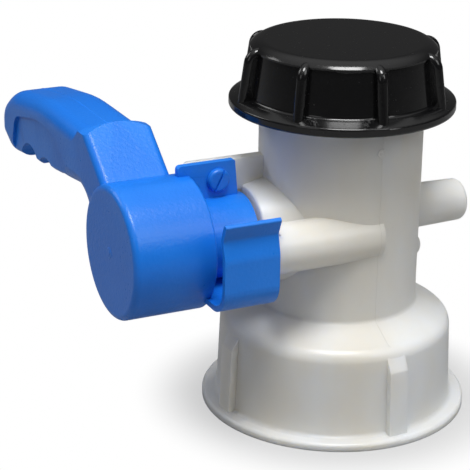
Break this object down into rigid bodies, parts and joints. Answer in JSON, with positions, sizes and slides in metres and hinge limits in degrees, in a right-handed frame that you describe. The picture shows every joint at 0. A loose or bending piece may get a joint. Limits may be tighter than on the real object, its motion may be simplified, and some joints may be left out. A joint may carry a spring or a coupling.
{
  "type": "ibc tank valve",
  "caption": "Plastic butterfly valve for a tank outlet, with a quarter-turn lever handle, snap hook, lock screw and screw-on dust cap.",
  "frame": {"origin": "centre of the inlet flange's face, on the flow axis", "axes": "+Z along the flow, from the inlet to the outlet; the stem lies along X with the handle towards -X; the closed lever points towards +Y"},
  "size_m": [0.1386, 0.1663, 0.1351],
  "materials": {
    "white_hdpe": "translucent off-white blow- and injection-moulded polyethylene, satin",
    "seal_rubber": "matt black elastomer",
    "disc_plastic": "satin glass-filled plastic",
    "pin_steel": "ground stainless steel",
    "stem_plastic": "satin natural plastic",
    "blue_plastic": "bright blue moulded plastic, semi-gloss",
    "screw_plastic": "blue moulded plastic",
    "black_plastic": "glossy black moulded plastic",
    "liner_foam": "pale foam gasket"
  },
  "bodies": {
    "valve_body": {"body": "white_hdpe", "inlet_gasket": "seal_rubber"},
    "handle_group": {"handle": "blue_plastic", "stem": "stem_plastic", "stem_oring_inner": "seal_rubber", "stem_oring_outer": "seal_rubber", "thrust_washer": "stem_plastic", "disc": "disc_plastic", "disc_seal": "seal_rubber", "disc_pin": "pin_steel"},
    "screw": {"lock_screw": "screw_plastic"},
    "cap_liner": {"cap_gasket": "liner_foam"},
    "dust_cap": {"cap": "black_plastic"}
  },
  "joints": [
    {"name": "handle_turn", "type": "hinge", "parent": "valve_body", "child": "handle_group", "pos_m": [0, 0, 0.0692], "axis": [1, 0, 0], "range_deg": [0, 90]},
    {"name": "lock_screw_slide", "type": "slide", "parent": "handle_group", "child": "screw", "axis": [0, -1, 0], "range_m": [0, 0.01]},
    {"name": "cap_lift", "type": "slide", "parent": "valve_body", "child": "cap_liner", "axis": [0, 0, 1], "range_m": [0, 0.01801]},
    {"name": "cap_turn", "type": "hinge", "parent": "cap_liner", "child": "dust_cap", "pos_m": [0, 0, 0.1115], "axis": [0, 0, 1], "range_deg": [0, 1080]}
  ],
  "couplings": [
    {"joint": "cap_lift", "follows": "cap_turn", "m_per_rad": 0.000955}
  ]
}
